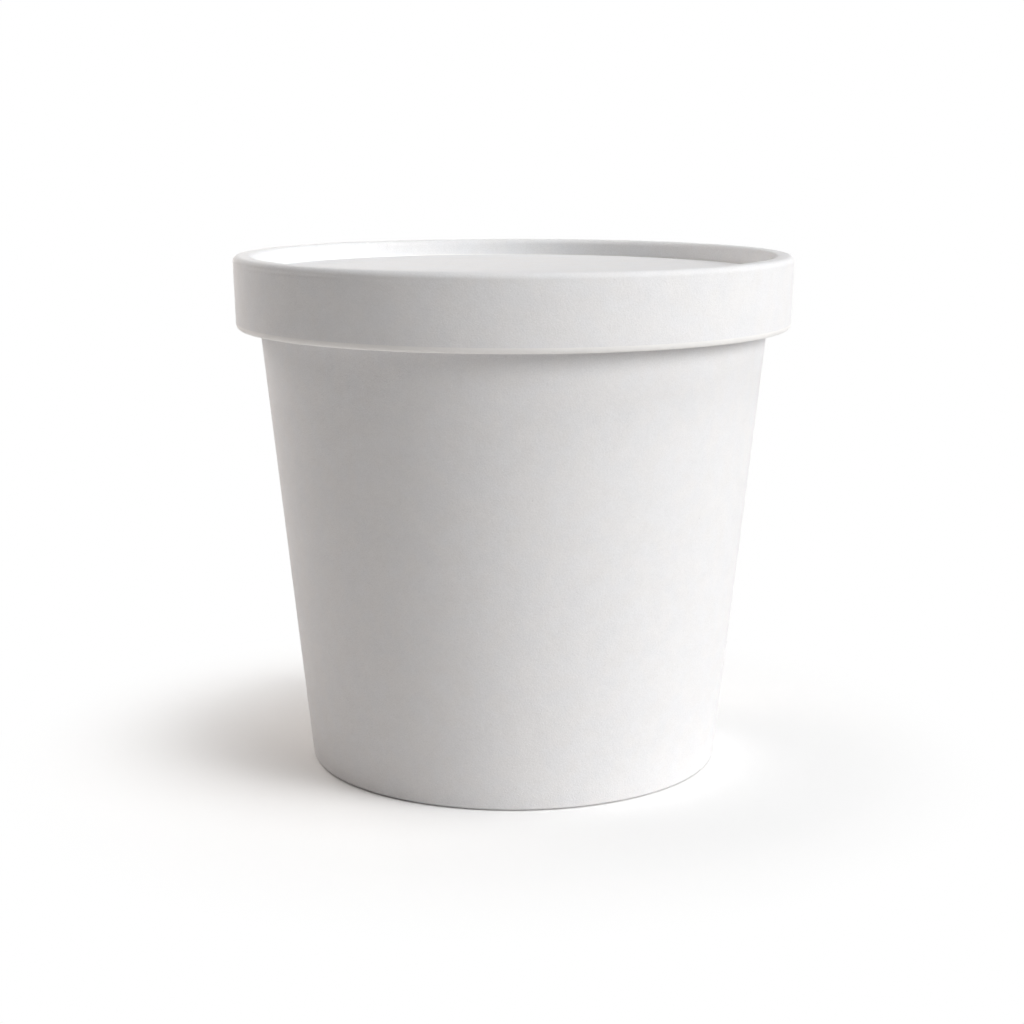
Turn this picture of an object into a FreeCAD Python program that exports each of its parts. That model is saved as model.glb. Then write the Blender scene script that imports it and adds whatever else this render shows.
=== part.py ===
import FreeCAD, Part
import math
import os
import Sketcher
from FreeCAD import Placement, Rotation, Vector

# A paper ice cream tub, standing closed under its press-on lid. Millimetres and degrees.
# The origin is the centre of the tub's foot on the table, and +Z points up.
# Each piece is one folded board: its section, turned about the Z axis.
# The glued laps of the two wrapped boards are raised strips at the back, towards +Y.

SIZES = [
    # the tub's wall
    ("foot_radius", 35.65, "outside of the wall, carried down to the table"),
    ("wall_taper", 5.92, "lean of the wall from upright"),
    ("tub_height", 84.25, "table to the top of the rolled bead"),
    ("wall_board", 0.45, "thickness of the wall's board"),
    ("curl_radius", 1.425, "outside radius of the rolled bead"),
    ("curl_turn", 300, "how far round the bead is rolled"),
    ("fold_radius", 0.5, "corners of the folded foot"),
    ("hem_height", 6.4, "table to the cut edge of the folded foot"),
    # the tub's bottom
    ("bottom_board", 0.45, "thickness of the bottom's board"),
    ("bottom_recess", 7.0, "table to the underside of the bottom"),
    ("bottom_bend", 0.45, "inside radius where the bottom turns down"),
    # the ring of the lid
    ("ring_board", 0.6, "thickness of the ring's board"),
    ("lid_height", 12.2, "edge of the skirt to the top of the rim"),
    ("skirt_draft", 1.5, "lean of the skirt from upright"),
    ("rim_width", 3.4, "across the folded rim"),
    ("rim_shoulder", 1.0, "outside radius where the skirt turns over into the rim"),
    ("rim_lip", 0.9, "outside radius where the rim turns down into the hem"),
    ("edge_radius", 0.25, "corners of the skirt's cut edge"),
    # the disc of the lid
    ("disc_board", 0.45, "thickness of the disc's board"),
    ("disc_recess", 2.9, "top of the rim down to the disc"),
    # the glued laps
    ("wall_lap", 12, "width of the wall's lap"),
    ("wall_lap_azimuth", 110, "where the wall's outer edge lies, round from +X"),
    ("ring_lap", 14, "width of the ring's lap"),
    ("ring_lap_azimuth", 128, "where the ring's outer edge lies, round from +X"),
    ("lap_press", 0.05, "how far a lap is pressed into the board below it"),
    ("lap_stop", 0.2, "top of a lap down from the bead or the rim"),
    # clearances
    ("glue_gap", 0.02, "coating between two boards"),
    ("flange_gap", 0.1, "end of a flange from the fold that holds it"),
    ("bead_clearance", 0.25, "skirt round the bead"),
    ("seat_gap", 0.2, "disc over the bead"),
]

doc = FreeCAD.newDocument("ice_cream_tub")
sheet = doc.addObject("Spreadsheet::Sheet", "Sizes")
for row, (alias, number, meaning) in enumerate(SIZES, start=1):
    sheet.set(f"A{row}", alias)
    sheet.set(f"B{row}", str(number))
    sheet.set(f"C{row}", meaning)
    sheet.setAlias(f"B{row}", alias)
doc.recompute()

# Formulas for the places that pieces share
LEAN = "(Sizes.wall_taper * 1 deg)"
DRAFT = "(Sizes.skirt_draft * 1 deg)"
CURL_BORE = "(Sizes.curl_radius - Sizes.wall_board)"
CURL_LEVEL = "(Sizes.tub_height - Sizes.curl_radius)"
CURL_CENTRE = f"(Sizes.foot_radius + tan({LEAN}) * {CURL_LEVEL} + {CURL_BORE} / cos({LEAN}))"
FLANGE_INSET = "(Sizes.wall_board + Sizes.glue_gap)"
HEM_INSET = f"({FLANGE_INSET} + Sizes.bottom_board + Sizes.glue_gap + Sizes.wall_board)"
DISC_UNDERSIDE = "(Sizes.tub_height + Sizes.seat_gap)"
DISC_TOP = f"({DISC_UNDERSIDE} + Sizes.disc_board)"
RIM_TOP = f"({DISC_TOP} + Sizes.disc_recess)"
SKIRT_FOOT = f"({RIM_TOP} - Sizes.lid_height)"
SKIRT_BORE = f"({CURL_CENTRE} + Sizes.curl_radius + Sizes.bead_clearance)"
SKIRT_RADIUS = f"({SKIRT_BORE} + Sizes.ring_board / cos({DRAFT}))"
HEM_BORE = f"({SKIRT_RADIUS} + tan({DRAFT}) * Sizes.lid_height - Sizes.rim_width)"
DISC_FLANGE = f"({HEM_BORE} + Sizes.ring_board + Sizes.glue_gap)"
DISC_BEND = "(Sizes.ring_board + 2 * Sizes.glue_gap)"

# A leaning face: its radius at a height, that height, and its lean outwards
WALL_OUTSIDE = ("Sizes.foot_radius", "0", LEAN)
SKIRT_INSIDE = (SKIRT_BORE, SKIRT_FOOT, DRAFT)
SKIRT_OUTSIDE = (SKIRT_RADIUS, SKIRT_FOOT, DRAFT)


def worked_out(formula):
    """The number that a formula gives now, in millimetres or degrees."""
    result = sheet.evalExpression(formula)
    return getattr(result, "Value", result)


def beside(face, level, outwards=0):
    """The point at a height on a leaning face, or on a line beside it."""
    face_radius, face_level, lean = (worked_out(formula) for formula in face)
    lean = math.radians(lean)
    return Vector(face_radius + (level - face_level) * math.tan(lean) + outwards / math.cos(lean), level, 0)


def towards(point, angle, distance):
    """The point at a distance from another, at an angle in degrees up from level."""
    turned = math.radians(angle)
    return point + Vector(math.cos(turned), math.sin(turned), 0) * distance


def rounded(start, corner, end, radius):
    """Where the arc in a corner between two lines begins and ends, and its centre."""
    first = (start - corner).normalize()
    second = (end - corner).normalize()
    half = first.getAngle(second) / 2
    reach = radius / math.tan(half)
    middle = (first + second).normalize()
    return corner + first * reach, corner + second * reach, corner + middle * (radius / math.sin(half))


class Section:
    """A closed outline on a plane through the Z axis, drawn end to end and counter-clockwise.

    In its sketch x is the radius and y is the height. Each line or arc begins where the last one ended,
    and a smooth one leaves it as a tangent. A place is a name or a (name, position) pair. The sketch's own
    axes have names too, and both begin at the origin.
    """

    def __init__(self, body, name, start):
        plane = next(item for item in body.Origin.OriginFeatures if item.Role == "XZ_Plane")
        self.sketch = body.newObject("Sketcher::SketchObject", name)
        self.sketch.AttachmentSupport = [(plane, "")]
        self.sketch.MapMode = "FlatFace"
        self.pen = start
        self.numbers = {"level_axis": -1, "upright_axis": -2}
        self.joints = []

    def line(self, name, end, smooth=False):
        self._add(name, Part.LineSegment(self.pen, end), 1, 2, smooth)
        self.pen = end

    def arc(self, name, centre, end, clockwise=False, smooth=True):
        before = math.atan2(self.pen.y - centre.y, self.pen.x - centre.x)
        after = math.atan2(end.y - centre.y, end.x - centre.x)
        circle = Part.Circle(centre, Vector(0, 0, 1), (end - centre).Length)
        if clockwise:
            self._add(name, Part.ArcOfCircle(circle, after, before), 2, 1, smooth)
        else:
            self._add(name, Part.ArcOfCircle(circle, before, after), 1, 2, smooth)
        self.pen = end

    def _add(self, name, shape, beginning, end, smooth):
        self.numbers[name] = self.sketch.addGeometry(shape, False)
        self.joints.append((self.numbers[name], beginning, end, smooth))

    def close(self):
        """Join each beginning to the end before it, and the first beginning to the last end."""
        previous = self.joints[-1]
        for joint in self.joints:
            number, beginning, _, smooth = joint
            kind = "Tangent" if smooth else "Coincident"
            self.sketch.addConstraint(Sketcher.Constraint(kind, previous[0], previous[2], number, beginning))
            previous = joint

    def guide(self, name, shape):
        """Add a construction line or point, which shapes the outline but is no part of it."""
        self.numbers[name] = self.sketch.addGeometry(shape, True)

    def face_guide(self, face, top):
        """Add a leaning face as a construction line, up to a height."""
        radius, level, lean = face
        self.guide("face", Part.LineSegment(beside(face, worked_out(level)), beside(face, worked_out(top))))
        self.at_radius(("face", 1), radius)
        self.at_level(("face", 1), level)
        self.at_level(("face", 2), top)
        self.size("Angle", "face", by=f"90 deg - {lean}")

    def rule(self, kind, *places):
        """Add a constraint that has no size."""
        self.sketch.addConstraint(Sketcher.Constraint(kind, *self._flat(places)))

    def size(self, kind, *places, by):
        """Add a constraint whose size follows a formula."""
        number = worked_out(by)
        if kind == "Angle":
            number = math.radians(number)
        index = self.sketch.addConstraint(Sketcher.Constraint(kind, *self._flat(places), number))
        self.sketch.setExpression(f"Constraints[{index}]", by)

    def at_radius(self, place, formula):
        self.size("DistanceX", ("level_axis", 1), place, by=formula)

    def at_level(self, place, formula):
        self.size("DistanceY", ("level_axis", 1), place, by=formula)

    def _flat(self, places):
        flat = []
        for place in places:
            first, *rest = place if isinstance(place, tuple) else (place,)
            flat += [self.numbers[first], *rest]
        return flat


def new_body(name):
    body = doc.addObject("PartDesign::Body", name)
    body.Label = name
    return body


def turn(body, section, axis="V_Axis", angle="360 deg"):
    """Turn a section about its sketch's upright axis, or about a construction line in it."""
    feature = body.newObject("PartDesign::Revolution", section.sketch.Name + "_turned")
    feature.Profile = section.sketch
    feature.ReferenceAxis = (section.sketch, [axis])
    feature.setExpression("Angle", angle)


def add_lap(body, face, board, width, azimuth, foot, top):
    """Raise the glued lap on the outside of a wrapped board.

    The strip is as high as the board at the lap's edge and fades out along the wrap, because it turns
    about an upright axis that lies between the Z axis and that edge.
    """
    step = f"({board} - Sizes.lap_press)"
    fade = f"({step} - Sizes.lap_press)"
    radius, level, lean = face
    middle = f"({radius} + tan({lean}) * (({foot} + {top}) / 2 - {level}))"
    bend = f"(2 * {fade} * {middle} / {width}^2)"
    axis_radius = f"({bend} * ({middle} + {step}) / (1 + {bend}))"
    low, high, height, press = (worked_out(formula) for formula in (foot, top, step, "Sizes.lap_press"))

    section = Section(body, body.Name + "_lap", beside(face, low, -press))
    section.line("foot", beside(face, low, height))
    section.line("outside", beside(face, high, height))
    section.line("top", beside(face, high, -press))
    section.line("inside", beside(face, low, -press))
    section.close()
    axis_x = worked_out(axis_radius)
    section.guide("axis", Part.LineSegment(Vector(axis_x, low, 0), Vector(axis_x, high, 0)))
    section.rule("Vertical", "axis")
    section.at_radius(("axis", 1), axis_radius)
    section.at_level(("axis", 1), foot)
    section.at_level(("axis", 2), top)
    section.face_guide(face, RIM_TOP)
    section.rule("Horizontal", "foot")
    section.rule("Horizontal", "top")
    section.at_level(("foot", 1), foot)
    section.at_level(("top", 1), top)
    section.rule("Parallel", "outside", "face")
    section.rule("Parallel", "inside", "face")
    section.size("Distance", ("outside", 1), "face", by=step)
    section.size("Distance", ("inside", 1), "face", by="Sizes.lap_press")

    section.sketch.AttachmentOffset = Placement(Vector(), Rotation(Vector(0, 1, 0), worked_out(azimuth)))
    section.sketch.setExpression("AttachmentOffset.Rotation.Angle", f"{azimuth} * 1 deg")
    turn(body, section, "Axis0", f"{width} * (1 + {bend}) / ({middle} + {step}) * 1 rad")


def side_wall():
    """The wall of the tub: folded foot, tapered side and rolled bead."""
    lean = worked_out(LEAN)
    board = worked_out("Sizes.wall_board")
    fold = worked_out("Sizes.fold_radius")
    hem = worked_out(HEM_INSET)
    curl = worked_out("Sizes.curl_radius")
    centre = Vector(worked_out(CURL_CENTRE), worked_out(CURL_LEVEL), 0)
    curl_start = 180 - lean
    curl_stop = curl_start - worked_out("Sizes.curl_turn")
    outer_foot = beside(WALL_OUTSIDE, 0)
    inner_foot = beside(WALL_OUTSIDE, 0, -hem)
    hem_edge = beside(WALL_OUTSIDE, worked_out("Sizes.hem_height"), -hem)
    fold_begins, fold_ends, fold_centre = rounded(hem_edge, inner_foot, outer_foot, fold)
    heel_begins, heel_ends, heel_centre = rounded(inner_foot, outer_foot, beside(WALL_OUTSIDE, board), fold)

    body = new_body("side_wall")
    section = Section(body, "wall_section", heel_ends)
    section.line("outside", towards(centre, curl_start, curl - board), smooth=True)
    section.arc("curl_bore", centre, towards(centre, curl_stop, curl - board), clockwise=True)
    section.line("curl_edge", towards(centre, curl_stop, curl))
    section.arc("curl", centre, towards(centre, curl_start, curl), smooth=False)
    section.line("inside", beside(WALL_OUTSIDE, board, -board), smooth=True)
    section.line("slot_floor", beside(WALL_OUTSIDE, board, board - hem))
    section.line("hem_outside", towards(hem_edge, -lean, board))
    section.line("hem_edge", hem_edge)
    section.line("hem_inside", fold_begins)
    section.arc("fold", fold_centre, fold_ends)
    section.line("foot", heel_begins, smooth=True)
    section.arc("heel", heel_centre, heel_ends)
    section.close()

    section.guide("foot_point", Part.Point(outer_foot))
    section.rule("PointOnObject", ("foot_point", 1), "outside")
    section.rule("PointOnObject", ("foot_point", 1), "level_axis")
    section.at_radius(("foot_point", 1), "Sizes.foot_radius")
    section.size("Angle", "outside", by=f"90 deg - {LEAN}")
    section.rule("Parallel", "inside", "outside")
    section.rule("Coincident", ("curl_bore", 3), ("curl", 3))
    section.at_level(("curl", 3), CURL_LEVEL)
    section.size("Radius", "curl", by="Sizes.curl_radius")
    section.size("Radius", "curl_bore", by=CURL_BORE)
    section.rule("PointOnObject", ("curl", 3), "curl_edge")
    section.size("Angle", "curl", by="Sizes.curl_turn * 1 deg")
    section.rule("Horizontal", "slot_floor")
    section.at_level(("slot_floor", 1), "Sizes.wall_board")
    section.rule("Parallel", "hem_outside", "outside")
    section.rule("Parallel", "hem_inside", "outside")
    section.size("Distance", ("hem_inside", 1), "outside", by=HEM_INSET)
    section.size("Distance", ("hem_outside", 2), "hem_inside", by="Sizes.wall_board")
    section.rule("Perpendicular", "hem_edge", "hem_outside")
    section.at_level(("hem_edge", 2), "Sizes.hem_height")
    section.rule("Horizontal", "foot")
    section.rule("PointOnObject", ("foot", 1), "level_axis")
    section.size("Radius", "fold", by="Sizes.fold_radius")
    section.rule("Equal", "fold", "heel")
    turn(body, section)

    lap_top = f"({CURL_LEVEL} - Sizes.curl_radius - Sizes.lap_stop)"
    add_lap(body, WALL_OUTSIDE, "Sizes.wall_board", "Sizes.wall_lap", "Sizes.wall_lap_azimuth",
            "Sizes.fold_radius", lap_top)
    return body


def bottom_disc():
    """The bottom of the tub: a flat disc whose flange turns down into the wall's folded foot."""
    lean = worked_out(LEAN)
    board = worked_out("Sizes.bottom_board")
    bend = worked_out("Sizes.bottom_bend")
    underside = worked_out("Sizes.bottom_recess")
    inset = worked_out(FLANGE_INSET)
    flange_foot = f"({FLANGE_INSET} + Sizes.flange_gap)"
    flange_tip = beside(WALL_OUTSIDE, worked_out(flange_foot), -inset)
    centre = beside(WALL_OUTSIDE, underside - bend, -inset - board - bend)

    body = new_body("bottom_disc")
    section = Section(body, "bottom_section", Vector(0, underside, 0))
    section.line("underside", Vector(centre.x, underside, 0))
    section.arc("bend_inside", centre, towards(centre, -lean, bend), clockwise=True)
    section.line("flange_inside", towards(flange_tip, 180 - lean, board), smooth=True)
    section.line("flange_edge", flange_tip)
    section.line("flange_outside", towards(centre, -lean, bend + board))
    section.arc("bend_outside", centre, towards(centre, 90, bend + board))
    section.line("top", Vector(0, underside + board, 0), smooth=True)
    section.line("middle", Vector(0, underside, 0))
    section.close()

    section.face_guide(WALL_OUTSIDE, RIM_TOP)
    section.rule("Horizontal", "underside")
    section.rule("PointOnObject", ("underside", 1), "upright_axis")
    section.at_level(("underside", 1), "Sizes.bottom_recess")
    section.rule("Coincident", ("bend_inside", 3), ("bend_outside", 3))
    section.size("Radius", "bend_inside", by="Sizes.bottom_bend")
    section.size("Radius", "bend_outside", by="Sizes.bottom_bend + Sizes.bottom_board")
    section.rule("Parallel", "flange_inside", "face")
    section.rule("Parallel", "flange_outside", "face")
    section.size("Distance", ("flange_outside", 1), "face", by=FLANGE_INSET)
    section.rule("Perpendicular", "flange_edge", "flange_outside")
    section.at_level(("flange_outside", 1), flange_foot)
    section.rule("Horizontal", "top")
    section.rule("Vertical", "middle")
    turn(body, section)
    return body


def lid_ring():
    """The ring of the lid: skirt, flattened rim, and a short hem that turns down inside it."""
    draft = worked_out(DRAFT)
    board = worked_out("Sizes.ring_board")
    shoulder = worked_out("Sizes.rim_shoulder")
    lip = worked_out("Sizes.rim_lip")
    edge = worked_out("Sizes.edge_radius")
    skirt_foot = worked_out(SKIRT_FOOT)
    rim_top = worked_out(RIM_TOP)
    hem_foot = worked_out(DISC_TOP) + worked_out("Sizes.glue_gap")
    hem_inside = worked_out(HEM_BORE)
    hem_outside = hem_inside + board
    shoulder_centre = beside(SKIRT_OUTSIDE, rim_top - shoulder, -shoulder)
    lip_centre = Vector(hem_inside + lip, rim_top - lip, 0)
    inner_foot = beside(SKIRT_INSIDE, skirt_foot)
    outer_foot = beside(SKIRT_OUTSIDE, skirt_foot)
    inner_edge = rounded(beside(SKIRT_INSIDE, rim_top), inner_foot, outer_foot, edge)
    outer_edge = rounded(inner_foot, outer_foot, beside(SKIRT_OUTSIDE, rim_top), edge)

    body = new_body("lid_ring")
    section = Section(body, "ring_section", outer_edge[1])
    section.line("skirt_outside", towards(shoulder_centre, -draft, shoulder), smooth=True)
    section.arc("shoulder", shoulder_centre, towards(shoulder_centre, 90, shoulder))
    section.line("rim_top", towards(lip_centre, 90, lip), smooth=True)
    section.arc("lip", lip_centre, towards(lip_centre, 180, lip))
    section.line("hem_inside", Vector(hem_inside, hem_foot, 0), smooth=True)
    section.arc("hem_edge", Vector(hem_inside, hem_foot + board, 0),
                Vector(hem_outside, hem_foot + board, 0), smooth=False)
    section.line("hem_outside", towards(lip_centre, 180, lip - board), smooth=True)
    section.arc("lip_inside", lip_centre, towards(lip_centre, 90, lip - board), clockwise=True)
    section.line("rim_underside", towards(shoulder_centre, 90, shoulder - board), smooth=True)
    section.arc("shoulder_inside", shoulder_centre, towards(shoulder_centre, -draft, shoulder - board),
                clockwise=True)
    section.line("skirt_inside", inner_edge[0], smooth=True)
    section.arc("inner_edge", inner_edge[2], inner_edge[1])
    section.line("skirt_foot", outer_edge[0], smooth=True)
    section.arc("outer_edge", outer_edge[2], outer_edge[1])
    section.close()

    section.guide("foot_point", Part.Point(inner_foot))
    section.rule("PointOnObject", ("foot_point", 1), "skirt_inside")
    section.at_radius(("foot_point", 1), SKIRT_BORE)
    section.at_level(("foot_point", 1), SKIRT_FOOT)
    section.size("Angle", "skirt_outside", by=f"90 deg - {DRAFT}")
    section.rule("Parallel", "skirt_inside", "skirt_outside")
    section.rule("Horizontal", "rim_top")
    section.at_level(("rim_top", 1), RIM_TOP)
    section.rule("Coincident", ("shoulder_inside", 3), ("shoulder", 3))
    section.size("Radius", "shoulder", by="Sizes.rim_shoulder")
    section.size("Radius", "shoulder_inside", by="Sizes.rim_shoulder - Sizes.ring_board")
    section.rule("Coincident", ("lip_inside", 3), ("lip", 3))
    section.size("Radius", "lip", by="Sizes.rim_lip")
    section.size("Radius", "lip_inside", by="Sizes.rim_lip - Sizes.ring_board")
    section.at_radius(("hem_inside", 2), HEM_BORE)
    section.rule("Vertical", "hem_inside")
    section.rule("Vertical", "hem_outside")
    section.at_level(("hem_inside", 2), f"{DISC_TOP} + Sizes.glue_gap")
    section.rule("Vertical", ("hem_inside", 2), ("hem_edge", 3))
    section.rule("Horizontal", "skirt_foot")
    section.at_level(("skirt_foot", 1), SKIRT_FOOT)
    section.size("Radius", "outer_edge", by="Sizes.edge_radius")
    section.rule("Equal", "inner_edge", "outer_edge")
    turn(body, section)

    add_lap(body, SKIRT_OUTSIDE, "Sizes.ring_board", "Sizes.ring_lap", "Sizes.ring_lap_azimuth",
            f"({SKIRT_FOOT} + Sizes.edge_radius)", f"({RIM_TOP} - Sizes.rim_shoulder - Sizes.lap_stop)")
    return body


def lid_disc():
    """The top of the lid: a flat disc whose edge turns up between the ring's hem and its skirt."""
    board = worked_out("Sizes.disc_board")
    bend = worked_out(DISC_BEND)
    underside = worked_out(DISC_UNDERSIDE)
    flange_top = f"({RIM_TOP} - Sizes.rim_lip - Sizes.flange_gap)"
    tip = worked_out(flange_top)
    flange_inside = worked_out(DISC_FLANGE)
    flange_outside = flange_inside + board
    centre = Vector(flange_inside - bend, underside + board + bend, 0)

    body = new_body("lid_disc")
    section = Section(body, "disc_section", Vector(0, underside, 0))
    section.line("underside", Vector(centre.x, underside, 0))
    section.arc("bend_outside", centre, Vector(flange_outside, centre.y, 0))
    section.line("flange_outside", Vector(flange_outside, tip, 0), smooth=True)
    section.line("flange_edge", Vector(flange_inside, tip, 0))
    section.line("flange_inside", Vector(flange_inside, centre.y, 0))
    section.arc("bend_inside", centre, Vector(centre.x, underside + board, 0), clockwise=True)
    section.line("top", Vector(0, underside + board, 0), smooth=True)
    section.line("middle", Vector(0, underside, 0))
    section.close()

    section.rule("Horizontal", "underside")
    section.rule("PointOnObject", ("underside", 1), "upright_axis")
    section.at_level(("underside", 1), DISC_UNDERSIDE)
    section.rule("Coincident", ("bend_inside", 3), ("bend_outside", 3))
    section.size("Radius", "bend_inside", by=DISC_BEND)
    section.size("Radius", "bend_outside", by=f"{DISC_BEND} + Sizes.disc_board")
    section.rule("Vertical", "flange_outside")
    section.rule("Vertical", "flange_inside")
    section.at_radius(("flange_inside", 1), DISC_FLANGE)
    section.rule("Horizontal", "flange_edge")
    section.at_level(("flange_edge", 1), flange_top)
    section.rule("Horizontal", "top")
    section.rule("Vertical", "middle")
    turn(body, section)
    return body


pieces = [side_wall(), bottom_disc(), lid_ring(), lid_disc()]
doc.recompute()

for item in doc.Objects:
    for trouble in ("Invalid", "Error"):
        if trouble in item.State:
            raise RuntimeError(f"{item.Name} is {trouble}")
    if item.TypeId == "Sketcher::SketchObject" and not item.FullyConstrained:
        raise RuntimeError(f"{item.Name} is not fully constrained")
for piece in pieces:
    if piece.Shape.isNull() or not piece.Shape.isValid() or len(piece.Shape.Solids) != 1:
        raise RuntimeError(f"{piece.Label} is not one valid solid")

os.makedirs("parts", exist_ok=True)
for piece in pieces:
    piece.Shape.exportStep(f"parts/{piece.Label}.step")
    box = piece.Shape.optimalBoundingBox(False)
    print(f"{piece.Label}: {piece.Shape.Volume:.1f} mm3, {box.XLength:.3f} by {box.YLength:.3f} across, "
          f"from {box.ZMin:.3f} up to {box.ZMax:.3f}")
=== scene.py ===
"""A paper ice cream tub under its press-on paper lid.

Every piece is a folded board. Its section is an outline of straight runs and bends, in radius and
height, and the piece is that outline carried once round the upright axis. Lengths are in metres.
"""
import math

import bpy
import numpy as np
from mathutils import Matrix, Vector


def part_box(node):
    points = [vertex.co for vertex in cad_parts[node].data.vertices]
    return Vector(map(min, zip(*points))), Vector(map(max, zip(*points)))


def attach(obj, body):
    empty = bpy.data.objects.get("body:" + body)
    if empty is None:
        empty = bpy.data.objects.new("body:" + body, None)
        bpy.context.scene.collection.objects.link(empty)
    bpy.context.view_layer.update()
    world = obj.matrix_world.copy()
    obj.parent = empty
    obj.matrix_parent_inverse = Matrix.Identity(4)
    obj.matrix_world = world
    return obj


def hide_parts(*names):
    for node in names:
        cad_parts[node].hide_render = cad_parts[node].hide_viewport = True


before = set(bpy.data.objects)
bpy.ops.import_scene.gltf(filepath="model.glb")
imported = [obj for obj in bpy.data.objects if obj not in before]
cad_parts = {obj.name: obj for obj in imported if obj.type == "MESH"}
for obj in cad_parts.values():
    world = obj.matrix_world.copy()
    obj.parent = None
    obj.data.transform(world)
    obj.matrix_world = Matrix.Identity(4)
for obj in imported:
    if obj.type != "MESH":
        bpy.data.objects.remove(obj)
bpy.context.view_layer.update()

MM = 0.001
TURN = 2 * math.pi

# Boards and folds, as the construction has them
WALL_BOARD = 0.45 * MM
RING_BOARD = 0.6 * MM
DISC_BOARD = 0.45 * MM
BOTTOM_BOARD = 0.45 * MM
GLUE_GAP = 0.02 * MM
WALL_LEAN = math.radians(5.92)
SKIRT_DRAFT = math.radians(1.5)
CURL_RADIUS = 1.425 * MM
CURL_TURN = math.radians(300)
FOLD_RADIUS = 0.5 * MM
HEM_HEIGHT = 6.4 * MM
RIM_WIDTH = 3.4 * MM
RIM_SHOULDER = 1.0 * MM
RIM_LIP = 0.9 * MM
WORN_DEPTH = 0.52 * MM
WORN_HEIGHT = 1.0 * MM
BOTTOM_BEND = 0.45 * MM
FLANGE_GAP = 0.1 * MM

# A lap is thinned by this share where its board is rolled, and the change is spread over this height
LAP_PRESSED = 0.85
LAP_PRESS_RUN = 1.5 * MM

# The mesh: the closest that a flat board's grid comes to its axis, the width of a lap's cut edge, and
# the angle from which an edge is sharp
POLE_RADIUS = 1.2 * MM
LAP_CUT = 0.03 * MM
SHARP_ANGLE = math.radians(38)

# The camera of the photograph
PHOTO_PX = 1024
FOCAL_PX = 1986
SENSOR = 36
CAMERA_PLACE = (-0.27 * MM, -343.3 * MM, 108.3 * MM)
CAMERA_DIP = 10.84


def corners(node):
    """The lowest and highest corner of a CAD node as arrays."""
    low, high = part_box(node)
    return np.array(low), np.array(high)


# Sections


def run(start, end, count):
    """A straight run: start + (end - start) t, for t from 0 up to but without 1."""
    t = np.linspace(0, 1, count, endpoint=False)[:, None]
    start, end = np.asarray(start), np.asarray(end)
    return start + (end - start) * t


def bend(centre, radius, first, last, count):
    """A bend: centre + radius (cos a, sin a), for a from first up to but without last, in radians."""
    a = np.linspace(first, last, count, endpoint=False)
    return np.asarray(centre) + radius * np.column_stack((np.cos(a), np.sin(a)))


def worn_edge(base, lean, foot, depth, height, count):
    """The outer corner of a leaning board's lower edge, worn to a quarter of an ellipse: a point stands
    depth (cos t - 1) out from the board's outer face at the level foot + height (1 + sin t), for t from
    -90 degrees up to but without 0."""
    t = np.linspace(-math.pi / 2, 0, count, endpoint=False)
    return leaning(base, lean, foot + height * (1 + np.sin(t)), depth * (np.cos(t) - 1)).T


def round_corner(before, corner, after, radius):
    """The bend that rounds a corner between two runs: where it begins, where it ends, its centre and
    its first and last angle. It touches each run at radius / tan(half the corner's angle) from it."""
    before, corner, after = (np.asarray(p) for p in (before, corner, after))
    first = (before - corner) / np.linalg.norm(before - corner)
    second = (after - corner) / np.linalg.norm(after - corner)
    half = math.acos(first @ second) / 2
    start = corner + first * radius / math.tan(half)
    end = corner + second * radius / math.tan(half)
    middle = (first + second) / np.linalg.norm(first + second)
    centre = corner + middle * radius / math.sin(half)
    angles = [math.atan2(*(p - centre)[::-1]) for p in (start, end)]
    turn = (angles[1] - angles[0] + math.pi) % TURN - math.pi
    return start, end, (centre, radius, angles[0], angles[0] + turn)


class Section:
    """The outline of a board, counter-clockwise, from stretches of points joined end to end.

    Each stretch is (points, face), where face is 1 on the board's outer face, 0 on its inner face and
    None along a cut edge, where it passes evenly from the one to the other. across is the direction
    through the board towards its outer face: the outline's outward normal on the outer face, and its
    opposite on the inner face. run is the distance along the outline.
    """

    def __init__(self, stretches, closed=True):
        self.closed = closed
        self.points = np.concatenate([points for points, face in stretches])
        count = len(self.points)
        face = np.concatenate([np.full(len(points), np.nan if face is None else face)
                               for points, face in stretches])
        ahead = np.roll(self.points, -1, axis=0) - self.points
        behind = np.roll(ahead, 1, axis=0)
        starts = np.cumsum([0] + [len(points) for points, face in stretches[:-1]])
        behind[starts] = ahead[starts]
        if not closed:
            ahead[-1] = behind[-1]
        along = ahead / np.linalg.norm(ahead, axis=1)[:, None]
        along += behind / np.linalg.norm(behind, axis=1)[:, None]
        along /= np.linalg.norm(along, axis=1)[:, None]
        normal = np.column_stack((along[:, 1], -along[:, 0]))
        known = np.flatnonzero(~np.isnan(face))
        order = np.arange(count)
        self.cut = np.isnan(face).astype(float)
        self.face = np.interp(order, known, face[known], period=count)
        across = normal * np.sign(self.face - 0.5)[:, None]
        self.across = np.column_stack([np.interp(order, known, across[known, axis], period=count)
                                       for axis in (0, 1)])
        steps = np.linalg.norm(np.diff(self.points, axis=0), axis=1)
        self.run = np.concatenate(([0], np.cumsum(steps)))


# Turned boards


def smooth(t):
    """The S-curve 3 t^2 - 2 t^3, held at 0 below 0 and at 1 above 1."""
    t = np.clip(t, 0, 1)
    return t * t * (3 - 2 * t)


def unevenness(section, azimuth, size, waves, seed):
    """How far a board stands out of true at each point, as an array of section by azimuth.

    It is a sum of cosines of whole numbers of waves round the axis. Each is shifted by the height
    times its own lean, in radians per metre, and their sizes fall as one over the number of waves.
    """
    rng = np.random.default_rng(seed)
    height = section.points[:, 1][:, None]
    total = np.zeros((len(height), len(azimuth)))
    for count in waves:
        phase, lean = rng.uniform(0, TURN), rng.uniform(-40, 40)
        total += np.cos(count * azimuth + phase + lean * height) / count
    return size * total / sum(1 / count for count in waves)


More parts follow.
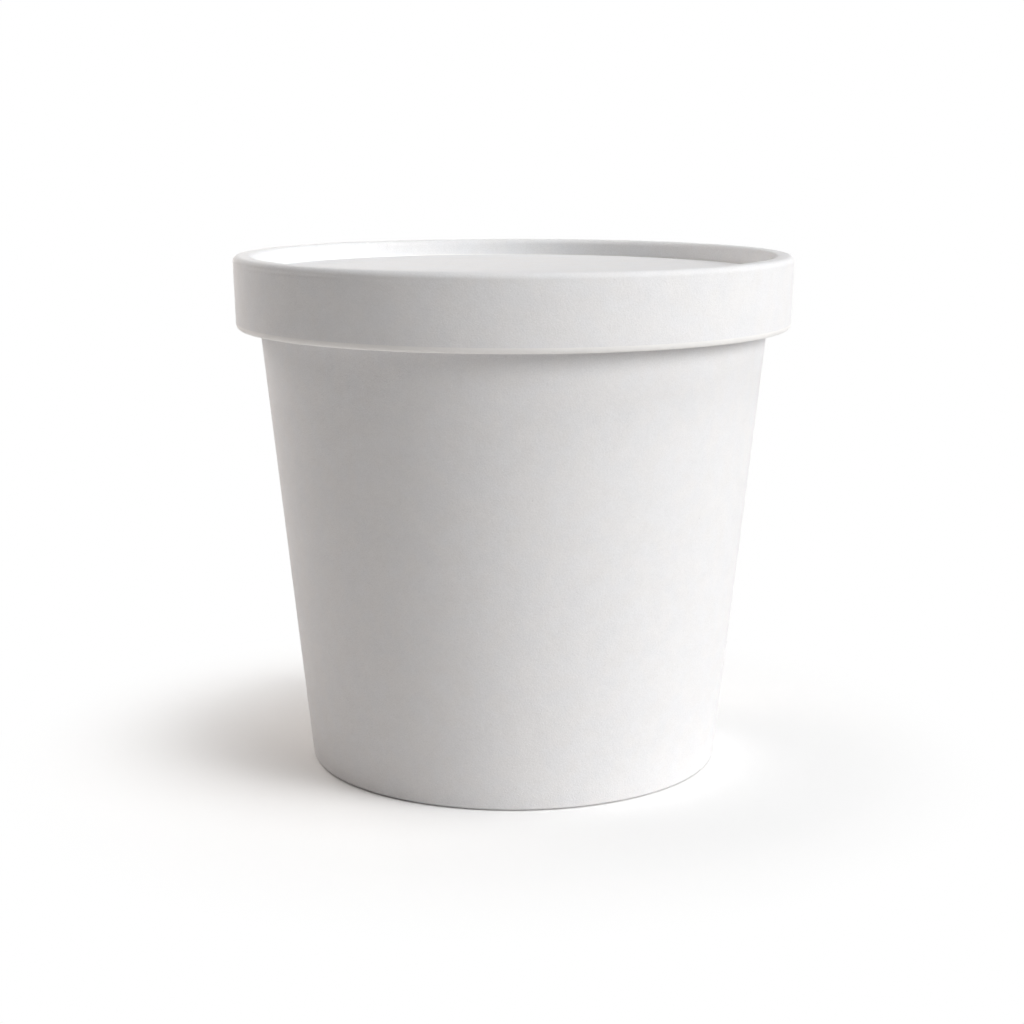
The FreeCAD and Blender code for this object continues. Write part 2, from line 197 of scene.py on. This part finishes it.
class Lap:
    """A glued lap: two layers of board from its outer cut edge on, and then one again.

    The outer face stands a step out from the outer edge for the lap's width and sinks back along an
    S-curve over the fade. The inner face follows it down from where the inner layer is cut off. Where
    the board is rolled, above the level given, it is pressed to a small share of the step, and under
    the foot that the tub stands on it is pressed flat.
    """

    def __init__(self, azimuth, width, fade, step, radius, rolled_above):
        self.azimuth = math.radians(azimuth)
        self.width = width / radius
        self.fade = fade / radius
        self.step = step
        self.cut = LAP_CUT / radius
        self.rolled_above = rolled_above

    def share(self, section):
        """The share of the step that is left at each point of the section."""
        height = section.points[:, 1]
        rolled = smooth((height - self.rolled_above) / LAP_PRESS_RUN + 1)
        standing = smooth(height / LAP_PRESS_RUN)
        return (1 - LAP_PRESSED * rolled) * standing

    def seams(self):
        """The azimuths that the mesh needs so that both cut edges come out sharp."""
        inner = self.azimuth + self.width
        return [self.azimuth - self.cut, self.azimuth, inner, inner + self.cut]

    def shift(self, azimuth):
        """How far the outer and the inner face are moved, and where the outer and the inner cut are."""
        beyond = (azimuth - self.azimuth) % TURN
        sunk = 1 - smooth((beyond - self.width) / self.fade)
        outer = self.step * sunk
        inner = self.step * sunk * (beyond > self.width + self.cut / 2)
        outer_cut = (beyond < self.cut / 2) | (beyond > TURN - 1.5 * self.cut)
        inner_cut = np.abs(beyond - self.width - self.cut / 2) < self.cut
        return outer, inner, outer_cut, inner_cut


def turn_board(name, section, columns, shift, lap=None):
    """A section carried once round the Z axis.

    The point at azimuth a is (R cos a, R sin a, H), where (R, H) is the section's point moved along
    across: by the shift given for that point and azimuth, and by the lap's shift of its face. An
    open section begins and ends on the axis and is closed by a fan at each pole.
    """
    azimuth = np.linspace(0, TURN, columns, endpoint=False)
    if lap:
        azimuth = np.unique(np.concatenate((azimuth, np.array(lap.seams()) % TURN)))
    columns = len(azimuth)
    rows = len(section.points)
    face = section.face[:, None]
    moved = shift(section, azimuth)
    cut = np.repeat(section.cut[:, None], columns, axis=1)
    if lap:
        outer, inner, outer_cut, inner_cut = lap.shift(azimuth)
        moved = moved + (face * outer + (1 - face) * inner) * lap.share(section)[:, None]
        cut = np.maximum(cut, np.where(face > 0.5, outer_cut, inner_cut))
    radius = section.points[:, :1] + section.across[:, :1] * moved
    height = section.points[:, 1:] + section.across[:, 1:] * moved

    spots = np.stack((radius * np.cos(azimuth), radius * np.sin(azimuth), height), axis=-1).reshape(-1, 3)
    faces, corner_uv = quads(section, azimuth, columns, rows)
    marks = {"cut": cut.ravel(), "face": np.repeat(section.face, columns)}
    if not section.closed:
        spots, faces, corner_uv, marks = add_poles(spots, faces, corner_uv, marks, rows, columns)
    return new_mesh(name, spots, faces, corner_uv, marks)


def quads(section, azimuth, columns, rows):
    """The faces between neighbouring rows and columns, and their corners' places on the flat board:
    u is the way round at the section's widest radius and v the way along the section."""
    row = np.arange(rows if section.closed else rows - 1)
    column = np.arange(columns)
    row, column = (grid.ravel() for grid in np.meshgrid(row, column, indexing="ij"))
    next_row = (row + 1) % rows
    next_column = (column + 1) % columns
    faces = np.column_stack((row * columns + column, row * columns + next_column,
                             next_row * columns + next_column, next_row * columns + column))
    widest = section.points[:, 0].max()
    u = np.append(azimuth, azimuth[0] + TURN) * widest
    v = np.append(section.run, section.run[-1] + np.linalg.norm(section.points[-1] - section.points[0]))
    corner_uv = np.stack((np.column_stack((u[column], v[row])), np.column_stack((u[column + 1], v[row])),
                          np.column_stack((u[column + 1], v[row + 1])),
                          np.column_stack((u[column], v[row + 1]))), axis=1)
    return faces, corner_uv


def add_poles(spots, faces, corner_uv, marks, rows, columns):
    """Close an open section on the axis: one point at each end, and a fan of triangles round it."""
    ends = []
    for row in (0, rows - 1):
        ring = spots[row * columns:(row + 1) * columns]
        ends.append([0, 0, ring[:, 2].mean()])
    low, high = len(spots), len(spots) + 1
    spots = np.concatenate((spots, ends))
    column = np.arange(columns)
    following = (column + 1) % columns
    top = (rows - 1) * columns
    fan_low = np.column_stack((following, column, np.full(columns, low)))
    fan_high = np.column_stack((top + column, top + following, np.full(columns, high)))
    fans = np.concatenate((fan_low, fan_high))
    fan_uv = spots[fans][:, :, :2]
    marks = {name: np.append(values, values[[0, -1]]) for name, values in marks.items()}
    return spots, [faces, fans], [corner_uv, fan_uv], marks


def new_mesh(name, spots, faces, corner_uv, marks):
    """A smooth mesh object from its points, faces, flat places and marks."""
    if not isinstance(faces, list):
        faces, corner_uv = [faces], [corner_uv]
    mesh = bpy.data.meshes.new(name)
    mesh.from_pydata(spots.tolist(), [], [face for group in faces for face in group.tolist()])
    layer = mesh.uv_layers.new(name="flat")
    layer.data.foreach_set("uv", np.concatenate([uv.reshape(-1) for uv in corner_uv]).astype(np.float32))
    for mark, values in marks.items():
        attribute = mesh.attributes.new(mark, "FLOAT", "POINT")
        attribute.data.foreach_set("value", values.astype(np.float32))
    mesh.shade_smooth()
    mesh.set_sharp_from_angle(angle=SHARP_ANGLE)
    piece = bpy.data.objects.new(name, mesh)
    bpy.context.scene.collection.objects.link(piece)
    return piece


# The four pieces


def leaning(base, lean, level, outwards=0.0):
    """The point at a height on a face that leans outwards from its radius at height 0, or beside it."""
    return np.array((base + level * math.tan(lean) + outwards / math.cos(lean), level))


def toward(centre, angle, distance):
    """The point at a distance from another, at an angle up from level."""
    return np.asarray(centre) + distance * np.array((math.cos(angle), math.sin(angle)))


class TubSizes:
    """The places that the wall and the bottom share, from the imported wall's box."""

    high = corners("side_wall")[1]
    curl_centre = np.array((high[0] - CURL_RADIUS, high[2] - CURL_RADIUS))
    curl_bore = CURL_RADIUS - WALL_BOARD
    foot_radius = (curl_centre[0] - curl_bore / math.cos(WALL_LEAN)
                   - curl_centre[1] * math.tan(WALL_LEAN))
    flange_inset = WALL_BOARD + GLUE_GAP
    hem_inset = flange_inset + BOTTOM_BOARD + GLUE_GAP + WALL_BOARD


class LidSizes:
    """The places that the ring and the disc share, from their packed boxes."""

    low, high = corners("lid_ring")
    disc_low, disc_high = corners("lid_disc")
    disc_top = disc_low[2] + DISC_BOARD
    shoulder = np.array((high[0] - RIM_SHOULDER, high[2] - RIM_SHOULDER))
    skirt_radius = (shoulder[0] + RIM_SHOULDER / math.cos(SKIRT_DRAFT)
                    - shoulder[1] * math.tan(SKIRT_DRAFT))
    hem_inside = skirt_radius + high[2] * math.tan(SKIRT_DRAFT) - RIM_WIDTH
    lip = np.array((hem_inside + RIM_LIP, high[2] - RIM_LIP))


def side_wall():
    """The wall: from the heel up the outside, round the rolled bead, down the inside to the slot
    that holds the bottom's flange, and up and over the hem inside the foot."""
    s = TubSizes
    start = math.pi - WALL_LEAN
    stop = start - CURL_TURN
    outer_foot = leaning(s.foot_radius, WALL_LEAN, 0)
    inner_foot = leaning(s.foot_radius, WALL_LEAN, 0, -s.hem_inset)
    hem_edge = leaning(s.foot_radius, WALL_LEAN, HEM_HEIGHT, -s.hem_inset)
    wall_low = leaning(s.foot_radius, WALL_LEAN, WALL_BOARD)
    slot_outer = leaning(s.foot_radius, WALL_LEAN, WALL_BOARD, -WALL_BOARD)
    slot_inner = leaning(s.foot_radius, WALL_LEAN, WALL_BOARD, WALL_BOARD - s.hem_inset)
    hem_outer = toward(hem_edge, -WALL_LEAN, WALL_BOARD)
    fold_start, fold_end, fold = round_corner(hem_edge, inner_foot, outer_foot, FOLD_RADIUS)
    heel_start, heel_end, heel = round_corner(inner_foot, outer_foot, wall_low, FOLD_RADIUS)
    bore_start = toward(s.curl_centre, start, s.curl_bore)
    section = Section([
        (run(heel_end, bore_start, 26), 1),
        (bend(s.curl_centre, s.curl_bore, start, stop, 20), 1),
        (run(toward(s.curl_centre, stop, s.curl_bore), toward(s.curl_centre, stop, CURL_RADIUS), 3), None),
        (bend(s.curl_centre, CURL_RADIUS, stop, start, 30), 0),
        (run(toward(s.curl_centre, start, CURL_RADIUS), slot_outer, 22), 0),
        (run(slot_outer, slot_inner, 2), 0),
        (run(slot_inner, hem_outer, 5), 0),
        (run(hem_outer, hem_edge, 3), None),
        (run(hem_edge, fold_start, 8), 1),
        (bend(*fold, 5), 1),
        (run(fold_end, heel_start, 2), 1),
        (bend(*heel, 6), 1),
    ])
    lap = Lap(110, 7 * MM, 6 * MM, 0.38 * MM, s.foot_radius, rolled_above=s.high[2] - 2 * CURL_RADIUS)

    def shift(section, azimuth):
        """Gentle waves that leave the foot flat, and the flutes that press the hem to the flange."""
        level = section.points[:, 1][:, None]
        waves = unevenness(section, azimuth, 0.07 * MM, (2, 3, 4, 5, 7, 9), 11) * smooth(level / (30 * MM))
        hem = (np.linalg.norm(section.points - hem_edge, axis=1) < HEM_HEIGHT) & (section.face > 0.5)
        hem = hem & (section.points[:, 0] < s.foot_radius - s.hem_inset / 2 + 0.3 * MM)
        fluted = smooth((level - 1.4 * MM) / (0.8 * MM)) * smooth((HEM_HEIGHT - level) / (0.8 * MM))
        flutes = -0.06 * MM * (0.5 + 0.5 * np.cos(90 * azimuth)) * fluted * hem[:, None]
        return waves + flutes

    return turn_board("paper_wall", section, 720, shift, lap)


def bottom_disc():
    """The bottom: a flat disc with its flange turned down, a little slack in the middle. Its lining is
    on top and faces the ice cream."""
    s = TubSizes
    high = corners("bottom_disc")[1]
    underside = high[2] - BOTTOM_BOARD
    inset = s.flange_inset
    outer_bend = BOTTOM_BEND + BOTTOM_BOARD
    centre = leaning(s.foot_radius, WALL_LEAN, underside - BOTTOM_BEND, -inset - outer_bend)
    tip = leaning(s.foot_radius, WALL_LEAN, inset + FLANGE_GAP, -inset)
    tip_inside = toward(tip, math.pi - WALL_LEAN, BOTTOM_BOARD)
    section = Section([
        (run((POLE_RADIUS, underside), (centre[0], underside), 18), 1),
        (bend(centre, BOTTOM_BEND, math.pi / 2, -WALL_LEAN, 6), 1),
        (run(toward(centre, -WALL_LEAN, BOTTOM_BEND), tip_inside, 6), 1),
        (run(tip_inside, tip, 2), None),
        (run(tip, toward(centre, -WALL_LEAN, outer_bend), 6), 0),
        (bend(centre, outer_bend, -WALL_LEAN, math.pi / 2, 8), 0),
        (run((centre[0], high[2]), (POLE_RADIUS, high[2]), 18), 0),
        (np.array([(POLE_RADIUS, high[2])]), 0),
    ], closed=False)

    def shift(section, azimuth):
        """A shallow sag, along an S-curve from the edge to the middle, and faint waves in the flat."""
        inwards = np.clip(1 - section.points[:, 0] / centre[0], 0, 1)[:, None]
        flat = (section.points[:, 1] > underside - 0.1 * MM)[:, None]
        waves = unevenness(section, azimuth, 0.05 * MM, (2, 3, 5), 5) * smooth(inwards * 5)
        return (0.25 * MM * smooth(inwards) + waves) * flat

    return turn_board("paper_bottom", section, 360, shift)


def lid_ring():
    """The ring: up the outside of the skirt, over the flattened rim, down the hem inside it, and back
    along the inner face to the foot of the skirt, whose outer corner is worn round."""
    s = LidSizes
    foot, top = s.low[2], s.high[2]
    hem_outside = s.hem_inside + RING_BOARD
    hem_foot = s.disc_top + GLUE_GAP
    shoulder_bore, lip_bore = RIM_SHOULDER - RING_BOARD, RIM_LIP - RING_BOARD
    worn = worn_edge(s.skirt_radius, SKIRT_DRAFT, foot, WORN_DEPTH, WORN_HEIGHT, 12)
    skirt_low = leaning(s.skirt_radius, SKIRT_DRAFT, foot + WORN_HEIGHT)
    skirt_high = leaning(s.skirt_radius, SKIRT_DRAFT, s.shoulder[1] - 1.2 * MM)
    shoulder_start = toward(s.shoulder, -SKIRT_DRAFT, RIM_SHOULDER)
    lining_top = toward(s.shoulder, -SKIRT_DRAFT, shoulder_bore)
    inner_foot = leaning(s.skirt_radius, SKIRT_DRAFT, foot, -RING_BOARD)
    section = Section([
        (run(skirt_low, skirt_high, 14), 1),
        (run(skirt_high, shoulder_start, 9), 1),
        (bend(s.shoulder, RIM_SHOULDER, -SKIRT_DRAFT, math.pi / 2, 18), 1),
        (run((s.shoulder[0], top), (s.lip[0], top), 4), 1),
        (bend(s.lip, RIM_LIP, math.pi / 2, math.pi, 16), 1),
        (run((s.hem_inside, s.lip[1]), (s.hem_inside, hem_foot), 6), 1),
        (bend((s.hem_inside, hem_foot + RING_BOARD), RING_BOARD, -math.pi / 2, 0, 6), None),
        (run((hem_outside, hem_foot + RING_BOARD), (hem_outside, s.lip[1]), 3), 0),
        (bend(s.lip, lip_bore, math.pi, math.pi / 2, 6), 0),
        (run((s.lip[0], s.lip[1] + lip_bore), (s.shoulder[0], s.shoulder[1] + shoulder_bore), 3), 0),
        (bend(s.shoulder, shoulder_bore, math.pi / 2, -SKIRT_DRAFT, 8), 0),
        (run(lining_top, inner_foot, 14), 0),
        # The foot's cut face and its worn corner take the cut colour, which is lighter than the board: a
        # painted highlight along the foot of the skirt
        (run(inner_foot, worn[0], 2), None),
        (worn, None),
    ])
    lap = Lap(128, 8 * MM, 6 * MM, 0.5 * MM, s.shoulder[0], rolled_above=s.shoulder[1])

    def shift(section, azimuth):
        """Gentle waves, and a soft crease at the front left, where the board starts to roll."""
        below = (section.points[:, 1] - s.shoulder[1] + 0.3 * MM)[:, None]
        skirt = ((section.points[:, 0] > s.shoulder[0]) & (section.face > 0.5))[:, None]
        near = smooth(1 - np.abs(azimuth - math.radians(222)) / math.radians(45))
        crease = -0.07 * MM * near * np.exp(-(below / (0.3 * MM)) ** 2) * skirt
        return crease + unevenness(section, azimuth, 0.06 * MM, (2, 3, 4, 6, 7, 11), 23)

    return turn_board("paper_lid_ring", section, 720, shift, lap)


def lid_disc():
    """The top of the lid: a flat disc whose edge turns up behind the hem, a little uneven. Its lining
    is underneath."""
    s = LidSizes
    underside = s.disc_low[2]
    disc_bend = RING_BOARD + 2 * GLUE_GAP
    flange_inside = s.disc_high[0] - DISC_BOARD
    centre = np.array((flange_inside - disc_bend, s.disc_top + disc_bend))
    section = Section([
        (run((POLE_RADIUS, underside), (centre[0], underside), 24), 0),
        (bend(centre, disc_bend + DISC_BOARD, -math.pi / 2, 0, 8), 0),
        (run((s.disc_high[0], centre[1]), (s.disc_high[0], s.disc_high[2]), 2), 0),
        (run((s.disc_high[0], s.disc_high[2]), (flange_inside, s.disc_high[2]), 2), None),
        (run((flange_inside, s.disc_high[2]), (flange_inside, centre[1]), 2), 1),
        (bend(centre, disc_bend, 0, -math.pi / 2, 6), 1),
        (run((centre[0], s.disc_top), (POLE_RADIUS, s.disc_top), 24), 1),
        (np.array([(POLE_RADIUS, s.disc_top)]), 1),
    ], closed=False)

    def shift(section, azimuth):
        """Faint waves in the flat that die out towards the hem."""
        inwards = np.clip((centre[0] - section.points[:, 0]) / (8 * MM), 0, 1)[:, None]
        return unevenness(section, azimuth, 0.09 * MM, (1, 2, 3, 5), 47) * smooth(inwards)

    return turn_board("paper_lid_disc", section, 432, shift)


# Materials


class Tree:
    """A node tree under construction. A socket is given a number, a colour or another socket."""

    def __init__(self, tree):
        self.tree = tree

    def node(self, kind, inputs=None, **settings):
        """A node with some inputs set or linked, and some properties set."""
        node = self.tree.nodes.new(kind)
        for name, value in settings.items():
            setattr(node, name, value)
        for key, value in (inputs or {}).items():
            if isinstance(value, bpy.types.NodeSocket):
                self.link(value, node.inputs[key])
            else:
                node.inputs[key].default_value = value
        return node

    def link(self, source, target):
        """A link from an output socket to an input socket."""
        self.tree.links.new(source, target)

    def group(self, group, inputs):
        """The outputs of a node group, given its inputs."""
        return self.node("ShaderNodeGroup", inputs, node_tree=group).outputs

    def math(self, operation, *values, clamp=False):
        """The result of a sum on one to three values."""
        node = self.node("ShaderNodeMath", dict(enumerate(values)), operation=operation, use_clamp=clamp)
        return node.outputs[0]

    def mix(self, factor, first, second, blend="MIX"):
        """The second colour over the first, by the factor."""
        inputs = {0: factor, 6: first, 7: second}
        return self.node("ShaderNodeMix", inputs, data_type="RGBA", blend_type=blend).outputs[2]

    def span(self, value, low, high, to_low=0.0, to_high=1.0):
        """The value taken from one span to another and held inside it, along an S-curve."""
        inputs = {0: value, 1: low, 2: high, 3: to_low, 4: to_high}
        return self.node("ShaderNodeMapRange", inputs, interpolation_type="SMOOTHSTEP").outputs[0]

    def noise(self, place, per_metre, detail=2.0, roughness=0.5, distortion=0.0):
        """A noise from 0 to 1 with so many lumps to the metre."""
        inputs = {"Vector": place, "Scale": per_metre, "Detail": detail, "Roughness": roughness,
                  "Distortion": distortion}
        return self.node("ShaderNodeTexNoise", inputs).outputs["Fac"]


def new_group(name, inputs, outputs):
    """An empty shader node group with named sockets, and its ends."""
    group = bpy.data.node_groups.new(name, "ShaderNodeTree")
    for socket, kind in inputs.items():
        group.interface.new_socket(socket, in_out="INPUT", socket_type=kind)
    for socket, kind in outputs.items():
        group.interface.new_socket(socket, in_out="OUTPUT", socket_type=kind)
    tree = Tree(group)
    return group, tree, tree.node("NodeGroupInput").outputs, tree.node("NodeGroupOutput").inputs


def board_surface_group():
    """Uncoated white board: cloudy warm and cool patches, short curled fibres and a few tiny specks.

    The clouds are two noises, one of them for the tint. A fibre is where a fine noise passes through
    its middle value, broken into short pieces by another noise. A speck is the middle of a Voronoi
    cell whose own random value is high. The grain and the tooth are fine noises for the colour and
    the relief.
    """
    group, tree, given, result = new_group(
        "board_surface",
        {"Place": "NodeSocketVector", "Colour": "NodeSocketColor", "Cloud": "NodeSocketFloat"},
        {"Colour": "NodeSocketColor", "Height": "NodeSocketFloat"})
    place = given["Place"]
    clouds = tree.noise(place, 320, detail=3)
    patches = tree.noise(place, 1100, detail=2)
    tint = tree.noise(place, 260, detail=2)
    shade = tree.math("ADD", tree.math("MULTIPLY", clouds, 0.6), tree.math("MULTIPLY", patches, 0.4))
    shade = tree.math("MULTIPLY", tree.math("SUBTRACT", shade, 0.5), given["Cloud"])
    shade = tree.math("ADD", shade, 1.0)
    warm = tree.mix(tree.span(tint, 0.35, 0.65), (0.997, 1.0, 1.004, 1), (1.004, 1.0, 0.995, 1))
    lines = tree.math("ABSOLUTE", tree.math("SUBTRACT", tree.noise(place, 1500, 1, distortion=0.6), 0.5))
    fibre = tree.span(lines, 0.0, 0.022, 1.0, 0.0)
    broken = tree.span(tree.noise(place, 900, detail=1), 0.54, 0.6)
    fibre = tree.math("MULTIPLY", fibre, broken)
    cells = tree.node("ShaderNodeTexVoronoi", {"Vector": place, "Scale": 330})
    near = tree.span(cells.outputs["Distance"], 0.03, 0.07, 1.0, 0.0)
    chosen = tree.node("ShaderNodeSeparateColor", {"Color": cells.outputs["Color"]}).outputs[0]
    speck = tree.math("MULTIPLY", near, tree.span(chosen, 0.93, 0.95))
    grain = tree.noise(place, 5200, detail=1)
    shade = tree.math("ADD", shade, tree.math("MULTIPLY", tree.math("SUBTRACT", grain, 0.5), 0.15))
    dark = tree.math("SUBTRACT", shade, tree.math("MULTIPLY", fibre, 0.03))
    dark = tree.math("SUBTRACT", dark, tree.math("MULTIPLY", speck, 0.1))
    grey = tree.node("ShaderNodeCombineColor", {0: dark, 1: dark, 2: dark}).outputs[0]
    tinted = tree.mix(1.0, tree.mix(1.0, given["Colour"], warm, "MULTIPLY"), grey, "MULTIPLY")
    tooth = tree.noise(place, 3600, detail=2, roughness=0.6)
    height = tree.math("ADD", tree.math("MULTIPLY", tooth, 1.3), tree.math("MULTIPLY", fibre, 0.35))
    height = tree.math("ADD", height, tree.math("MULTIPLY", patches, 0.6))
    tree.link(tinted, result["Colour"])
    tree.link(height, result["Height"])
    return group


def edge_colour_and_highlight_group():
    """The raw cut of a board: its layers as fine streaks along the edge, over the surface's colour.
    This colour is lighter than the board's faces, and on the worn foot of the lid's skirt it is also a
    painted highlight: the light line along the foot.
    """
    group, tree, given, result = new_group(
        "edge_colour_and_highlight",
        {"Flat": "NodeSocketVector", "Cut": "NodeSocketFloat", "Colour": "NodeSocketColor"},
        {"Colour": "NodeSocketColor"})
    stretch = {"Vector": given["Flat"], "Scale": (0.12, 1.0, 1.0)}
    layers = tree.noise(tree.node("ShaderNodeMapping", stretch).outputs[0], 7000, detail=2)
    # The raw cut's own colour, lighter than the board, so that it also paints a highlight on the skirt's
    # worn foot
    bare_cut_and_highlight = tree.mix(layers, (0.93, 0.925, 0.915, 1), (0.985, 0.98, 0.97, 1))
    mask = tree.span(given["Cut"], 0.25, 0.75)
    tree.link(tree.mix(mask, given["Colour"], bare_cut_and_highlight), result["Colour"])
    return group


BOARD_WHITE = (0.882, 0.884, 0.892, 1)
CLOUDINESS = 0.09
RELIEF = 0.03 * MM
MATT_ROUGHNESS = 0.85
LINING_ROUGHNESS = 0.5


def board_material(name, groups):
    """Board with a matt outer face and a lining whose thin coating makes it a little smoother."""
    material = bpy.data.materials.new(name)
    material.use_nodes = True
    material.node_tree.nodes.clear()
    tree = Tree(material.node_tree)
    place = tree.node("ShaderNodeTexCoord").outputs["Object"]
    flat = tree.node("ShaderNodeUVMap", uv_map="flat").outputs["UV"]
    cut = tree.node("ShaderNodeAttribute", attribute_name="cut").outputs["Fac"]
    face = tree.node("ShaderNodeAttribute", attribute_name="face").outputs["Fac"]
    surface = tree.group(groups["surface"], {"Place": place, "Colour": BOARD_WHITE, "Cloud": CLOUDINESS})
    # The lighter cut colour, which is also a painted highlight on the skirt's worn foot
    edge = tree.group(groups["cut"], {"Flat": flat, "Cut": cut, "Colour": surface["Colour"]})
    bump = tree.node("ShaderNodeBump", {"Height": surface["Height"], "Distance": RELIEF})
    gloss = tree.span(face, 0.3, 0.7, LINING_ROUGHNESS, MATT_ROUGHNESS)
    shader = tree.node("ShaderNodeBsdfPrincipled", {
        "Base Color": edge["Colour"], "Roughness": gloss, "Normal": bump.outputs["Normal"],
        "Specular IOR Level": 0.3})
    tree.node("ShaderNodeOutputMaterial", {"Surface": shader.outputs["BSDF"]})
    return material


# Stage


# The floor lies a hair under the tub. It shows the shadow near the tub and fades to plain white between
# two distances from the shadow's middle
FLOOR_BELOW = 0.12 * MM
FLOOR_REACH = 6.0
SHADOW_MIDDLE = (-4 * MM, 0, 0)
SHADOW_FADES = (28 * MM, 90 * MM)


def add_floor():
    """A pale floor that keeps the shadow near the tub and runs out into plain white."""
    reach = FLOOR_REACH
    mesh = bpy.data.meshes.new("floor")
    mesh.from_pydata([(-reach, -reach, 0), (reach, -reach, 0), (reach, reach, 0), (-reach, reach, 0)],
                     [], [(0, 1, 2, 3)])
    floor = bpy.data.objects.new("floor", mesh)
    floor.location.z = -FLOOR_BELOW
    bpy.context.scene.collection.objects.link(floor)
    material = bpy.data.materials.new("floor")
    material.use_nodes = True
    material.node_tree.nodes.clear()
    tree = Tree(material.node_tree)
    place = tree.node("ShaderNodeTexCoord").outputs["Object"]
    away = tree.node("ShaderNodeVectorMath", {0: place, 1: SHADOW_MIDDLE}, operation="DISTANCE")
    far = tree.span(away.outputs["Value"], *SHADOW_FADES)
    seen = seen_rays(tree)
    bounced = tree.node("ShaderNodeBsdfDiffuse", {"Color": (0.81, 0.787, 0.773, 1)}).outputs[0]
    near = tree.node("ShaderNodeBsdfDiffuse", {"Color": (1, 1, 1, 1)}).outputs[0]
    white = tree.node("ShaderNodeEmission", {"Color": (1, 1, 1, 1), "Strength": 1.0}).outputs[0]
    shown = tree.node("ShaderNodeMixShader", {0: far, 1: near, 2: white}).outputs[0]
    result = tree.node("ShaderNodeMixShader", {0: seen, 1: bounced, 2: shown}).outputs[0]
    tree.node("ShaderNodeOutputMaterial", {"Surface": result})
    mesh.materials.append(material)


def seen_rays(tree):
    """1 for rays that show the floor or the world to the camera, directly or in a gloss or a glass."""
    path = tree.node("ShaderNodeLightPath").outputs
    seen = tree.math("MAXIMUM", path["Is Camera Ray"], path["Is Glossy Ray"])
    return tree.math("MAXIMUM", seen, path["Is Transmission Ray"])


WORLD_LIGHT = 0.01


def add_world():
    """A white surround for the camera that lights the tub only faintly."""
    world = bpy.data.worlds.new("studio")
    bpy.context.scene.world = world
    world.use_nodes = True
    world.node_tree.nodes.clear()
    tree = Tree(world.node_tree)
    light = tree.node("ShaderNodeBackground", {"Color": (1, 1, 1, 1), "Strength": WORLD_LIGHT}).outputs[0]
    white = tree.node("ShaderNodeBackground", {"Color": (1, 1, 1, 1), "Strength": 1.0}).outputs[0]
    result = tree.node("ShaderNodeMixShader", {0: seen_rays(tree), 1: light, 2: white}).outputs[0]
    tree.node("ShaderNodeOutputWorld", {"Surface": result})


# The window and the room's light, as wide suns. Each has its azimuth round from the camera towards the
# right, its height above the floor and its width, all in degrees, its strength and its colour
SUNS = {
    "window_left": (50, 27, 32, 0.70, (1.0, 1.0, 1.0)),
    "window_right": (69, 22, 32, 1.58, (1.0, 1.0, 1.0)),
    "sky": (60, 70, 24, 1.14, (1.0, 1.0, 1.0)),
    "back_left": (-110, 45, 24, 0.34, (1.0, 0.94, 0.9)),
}

# White cards that stand on the dark side and send some of the window's light back: azimuth and height
# of the middle, and power in watts. Each is turned to the middle of the tub
CARDS = {
    "card_back": (-130, 120 * MM, 0.128),
    "card_low": (-50, 25 * MM, 0.005),
}
CARD_COLOUR = (1.0, 0.935, 0.885)
CARD_AWAY = 160 * MM
CARD_SIZE = (120 * MM, 60 * MM)
TUB_MIDDLE = 45 * MM


def add_light(name, kind, colour, strength, direction, place=(0, 0, 0)):
    """A lamp that shines at the tub from an azimuth and a height, given in degrees."""
    azimuth, height = direction
    data = bpy.data.lights.new(name, kind)
    data.energy = strength
    data.color = colour
    lamp = bpy.data.objects.new(name, data)
    lamp.location = place
    lamp.rotation_euler = (math.radians(90 - height), 0, math.radians(azimuth))
    lamp.visible_camera = False
    bpy.context.scene.collection.objects.link(lamp)
    return data


def add_lamps():
    """The suns and the cards. A lamp at azimuth a and height h shines along the line from
    (sin a cos h, -cos a cos h, sin h) to the tub."""
    for name, (azimuth, height, width, strength, colour) in SUNS.items():
        sun = add_light(name, "SUN", colour, strength, (azimuth, height))
        sun.angle = math.radians(width)
    for name, (azimuth, level, power) in CARDS.items():
        turned = math.radians(azimuth)
        place = (CARD_AWAY * math.sin(turned), -CARD_AWAY * math.cos(turned), level)
        dip = math.degrees(math.atan2(level - TUB_MIDDLE, CARD_AWAY))
        card = add_light(name, "AREA", CARD_COLOUR, power, (azimuth, dip), place)
        card.shape = "RECTANGLE"
        card.size, card.size_y = CARD_SIZE


def add_camera():
    """The camera of the photograph: level across, looking a little down at the tub from the front."""
    data = bpy.data.cameras.new("camera")
    data.sensor_width = SENSOR
    data.lens = SENSOR * FOCAL_PX / PHOTO_PX
    camera = bpy.data.objects.new("camera", data)
    camera.location = CAMERA_PLACE
    camera.rotation_euler = (math.radians(90 - CAMERA_DIP), 0, 0)
    bpy.context.scene.collection.objects.link(camera)
    bpy.context.scene.camera = camera


def build():
    """Make the pieces, dress them, and hand each to its body in place of its CAD node."""
    groups = {"surface": board_surface_group(), "cut": edge_colour_and_highlight_group()}
    boards = {slot: board_material(slot, groups) for slot in ("tub_board", "lid_board")}
    for piece, node, body, slot in (
            (side_wall(), "side_wall", "tub", "tub_board"),
            (bottom_disc(), "bottom_disc", "tub", "tub_board"),
            (lid_ring(), "lid_ring", "lid", "lid_board"),
            (lid_disc(), "lid_disc", "lid", "lid_board")):
        piece.data.materials.append(boards[slot])
        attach(piece, body)
        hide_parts(node)


build()
add_floor()
add_world()
add_lamps()
add_camera()
bpy.context.scene.view_settings.view_transform = "Standard"
